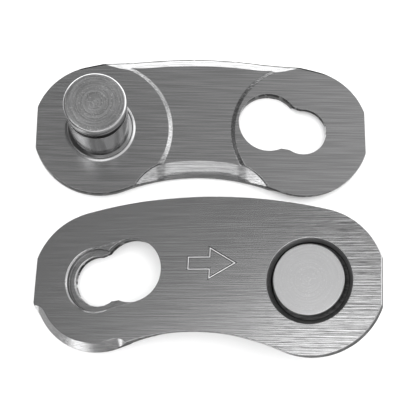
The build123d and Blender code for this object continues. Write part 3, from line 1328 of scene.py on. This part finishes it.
@dataclass
class RivetPin:
    """Turned pin with its formed rivet head. Sizes are in millimetres."""

    plate_thick: float = 0.80
    head_r: float = 2.00
    head_proud: float = 0.30
    head_round: float = 0.08
    head_foot: float = -0.45
    neck_r: float = 1.55
    collar_r: float = 2.25
    collar_high: float = 0.12
    collar_chamfer: float = 0.20
    foot_r: float = 1.98
    foot_high: float = 0.12
    shank_r: float = 1.83
    shank_long: float = 3.35
    shank_round: float = 0.04
    groove_r: float = 1.42
    groove_wide: float = 0.60
    tip_high: float = 0.70
    tip_round: float = 0.15
    small: float = 0.02               # rounding of the other edges
    drawn_in: float = 0.008           # keeps the end faces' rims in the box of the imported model
    segments: int = 120

    @property
    def tip_z(self) -> float:
        """Height of the tip's face."""
        return -self.plate_thick - self.shank_long - self.groove_wide - self.tip_high

    @property
    def wall_middle(self) -> float:
        """Height of the middle of the wall from the foot's cone to the tip's rounding."""
        return (-self.plate_thick - self.collar_high - self.foot_high + self.tip_z + self.tip_round) / 2

    def profile(self) -> list[Flat]:
        """Draws half of the pin's section.

        Returns:
            The profile's points, from the middle of the head's face to the middle of the tip's.
        """
        inner = -self.plate_thick
        foot = inner - self.collar_high
        groove = inner - self.shank_long
        tip = groove - self.groove_wide
        top, end = self.head_proud - self.drawn_in, self.tip_z + self.drawn_in
        return rounded([
            (0, top, 0),
            (self.head_r, top, self.head_round),
            (self.head_r, self.head_foot, self.small),
            (self.neck_r, self.head_foot, self.small),
            (self.neck_r, inner, self.small),
            (self.collar_r, inner, self.small),
            (self.collar_r - self.collar_chamfer, foot, self.small),
            (self.foot_r, foot, self.small),
            (self.shank_r, foot - self.foot_high, self.small),
            (self.shank_r, groove, self.shank_round),
            (self.groove_r, groove, self.small),
            (self.groove_r, tip, self.small),
            (self.shank_r, tip, self.small),
            (self.shank_r, end, self.tip_round),
            (0, end, 0),
        ])

    def build(self, name: str, lathe: Lathe, finish: bpy.types.Material) -> bpy.types.Object:
        """Turns the pin in its half's own frame.

        Args:
            name: Name of the pin.
            lathe: What turns it.
            finish: Its material.

        Returns:
            The pin.
        """
        pin = lathe.turn(name, self.profile(), finish, self.segments)
        pin.data.transform(Matrix.Translation((PIN_X, 0, 0)))
        return pin


@dataclass
class LinkHalf:
    """One half of the link: a plate with its pin riveted in.

    Attributes:
        half: Which half it is.
        plate: The plate's sizes.
        pin: The pin's sizes.
        arrow: The mark in its outer face, if it has one.
        plate_finish: Finish of the plate.
        pin_finish: Finish of the pin.
    """

    half: Half
    plate: LinkPlate = field(default_factory=LinkPlate)
    pin: RivetPin = field(default_factory=RivetPin)
    arrow: Optional[ArrowMark] = None
    plate_finish: BrushedSteel = BrushedSteel()
    pin_finish: TurnedSteel = TurnedSteel()

    def lay(self, piece: bpy.types.Object, place: Place, node: str) -> None:
        """Puts a finished piece where it lies and ties it to its body.

        Args:
            piece: The piece, in the half's own frame.
            place: Where the half lies.
            node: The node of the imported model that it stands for.
        """
        piece.data.transform(place.matrix)
        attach(piece, f"{self.half.value}_half")
        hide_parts(node)
        log.info("%s: %d faces", piece.name, len(piece.data.polygons))

    def build(self, lathe: Lathe) -> None:
        """Makes and dresses the half's two pieces.

        Args:
            lathe: What turns the pin.
        """
        side = self.half.value
        place = Place.of(self.half, self.pin.wall_middle)
        marks = [self.arrow.cutter()] if self.arrow else []
        plate = self.plate.build(f"{side}_link_plate", marks)
        finish = self.plate_finish.material(f"{side} plate, brushed steel", place, self.plate)
        plate.data.materials.clear()
        plate.data.materials.append(finish)
        self.lay(plate, place, f"{side}_plate")
        finish = self.pin_finish.material(f"{side} pin, turned steel", place)
        pin = self.pin.build(f"{side}_rivet_pin", lathe, finish)
        self.lay(pin, place, f"{side}_pin")


# The studio


@dataclass(frozen=True)
class Glow:
    """A soft round patch of light in the surroundings.

    Attributes:
        towards: Direction from the link.
        inner: Angle from that direction, in degrees, up to which it is at its brightest.
        outer: Angle at which it has faded out.
        strength: How bright it is.
    """

    towards: Triple
    inner: float
    outer: float
    strength: float


@dataclass
class Studio:
    """Table, lights, surroundings and camera, in metres unless a name says otherwise.

    The brightness of the surroundings is set by direction, with x to the right, y to the back and z up.
    """

    table_half: float = 3.0
    table_colour: Triple = (0.90, 0.90, 0.90)
    table_rough: float = 0.85
    mottle: Grain = Grain((220.0, 220.0, 220.0), 3.0)
    mottle_least: float = 0.99
    mottle_gain: float = 0.02

    camera_mm: Triple = (-0.84, -13.70, 56.07)
    aim_mm: Triple = (-0.07, 0.44, 0.0)
    roll: float = 3.58
    lens: float = 83.2
    sensor: float = 36.0
    near: float = 0.002
    far: float = 20.0

    fill_size: float = 0.6
    fill_high: float = 0.5
    fill_radiance: float = 4.0

    overhead: float = 0.215
    right: float = 0.31
    right_x: Span = (-0.15, 0.50)
    left_low: float = 0.40            # what is left of the light low on the left
    left_x: Span = (-0.6, -0.2)
    left_z: Span = (0.45, 0.75)
    front_low: float = 0.28
    front_y: Span = (-0.92, -0.72)
    front_z: Span = (0.35, 0.60)
    below: float = 0.40
    below_z: Span = (-0.08, 0.0)
    back_low: float = 1.35
    back_x: Span = (-0.9, -0.6)
    back_y: Span = (-0.1, 0.5)
    back_z: Span = (0.08, 0.22)
    glows: tuple[Glow, ...] = (
        Glow((-0.40, -0.10, 0.91), 9, 16.5, 1.45),
        Glow((-0.05, -0.62, 0.78), 14, 26, 0.75),
        Glow((0.55, -0.25, 0.79), 14, 26, 0.22),
        Glow((0.88, 0.22, 0.42), 10, 24, 0.80),
        Glow((-0.58, -0.78, -0.22), 5, 14, 1.20),
    )

    def lay_table(self) -> None:
        """Pale table under the link. The steel mirrors the surroundings' lower half in its place."""
        half = self.table_half
        corners = [(-half, -half, 0), (half, -half, 0), (half, half, 0), (-half, half, 0)]
        mesh = bpy.data.meshes.new("table")
        mesh.from_pydata(corners, [], [(0, 1, 2, 3)])
        table = linked("table", mesh)
        material, bench = new_material("pale table")
        mottle = bench.noise(bench.node("ShaderNodeTexCoord").outputs["Object"], self.mottle)
        pale = bench.tint(self.table_colour, self.mottle_least + mottle * self.mottle_gain)
        bench.surface({"Base Color": pale, "Roughness": self.table_rough})
        mesh.materials.append(material)
        table.visible_glossy = False

    def light_table(self) -> None:
        """Large soft light over the table, which the steel doesn't mirror."""
        lamp = bpy.data.lights.new("table light", "AREA")
        lamp.shape = "SQUARE"
        lamp.size = self.fill_size
        lamp.energy = self.fill_radiance * pi * self.fill_size ** 2
        stand = linked("table light", lamp)
        stand.location = (0, 0, self.fill_high)
        stand.visible_glossy = False

    def surround(self) -> None:
        """Soft surroundings: bright low at the back, pale on the right, dim on the left."""
        world = bpy.data.worlds.new("studio")
        bpy.context.scene.world = world
        world.use_nodes = True
        bench = Bench(world.node_tree)
        sight = bench.node("ShaderNodeTexCoord").outputs["Generated"]
        x, y, z = bench.parts(sight)
        light = self.overhead + self.right * x.rise(self.right_x)
        light = light * (1 - x.fall(self.left_x) * z.fall(self.left_z) * (1 - self.left_low))
        light = blend(light, self.front_low, y.fall(self.front_y) * z.fall(self.front_z))
        light = blend(light, self.below, z.fall(self.below_z))
        light = light + self.back_low * y.rise(self.back_y) * z.fall(self.back_z) * x.rise(self.back_x)
        for glow in self.glows:
            aside = bench.dot(sight, Vector(glow.towards).normalized())
            light = light + glow.strength * aside.rise((cos(radians(glow.outer)), cos(radians(glow.inner))))
        shown = bench.node("ShaderNodeBackground", inputs={"Color": (1, 1, 1, 1), "Strength": light})
        bench.node("ShaderNodeOutputWorld", inputs={"Surface": shown.outputs[0]})

    def set_camera(self) -> None:
        """Camera that looks down on the link."""
        lens = bpy.data.cameras.new("camera")
        lens.lens = self.lens
        lens.sensor_width = self.sensor
        lens.clip_start = self.near
        lens.clip_end = self.far
        camera = linked("camera", lens)
        bpy.context.scene.camera = camera
        camera.location = Vector(self.camera_mm) * MM
        sight = (Vector(self.aim_mm) - Vector(self.camera_mm)).to_track_quat("-Z", "Y")
        roll = Matrix.Rotation(radians(self.roll), 3, "Z").to_quaternion()
        camera.rotation_mode = "QUATERNION"
        camera.rotation_quaternion = sight @ roll

    def build(self) -> None:
        """Sets the whole studio up."""
        bpy.context.scene.view_settings.view_transform = "Standard"
        self.lay_table()
        self.light_table()
        self.surround()
        self.set_camera()
        log.info("studio: %d glows", len(self.glows))


def main() -> None:
    """Builds the studio and the two halves of the link."""
    logging.basicConfig(level=logging.INFO, format="%(name)s: %(message)s")
    Studio().build()
    lathe = Lathe()
    for half in (LinkHalf(Half.BACK), LinkHalf(Half.FRONT, arrow=ArrowMark())):
        half.build(lathe)
        log.info("%s half laid", half.half.value)


if __name__ == "__main__":
    main()
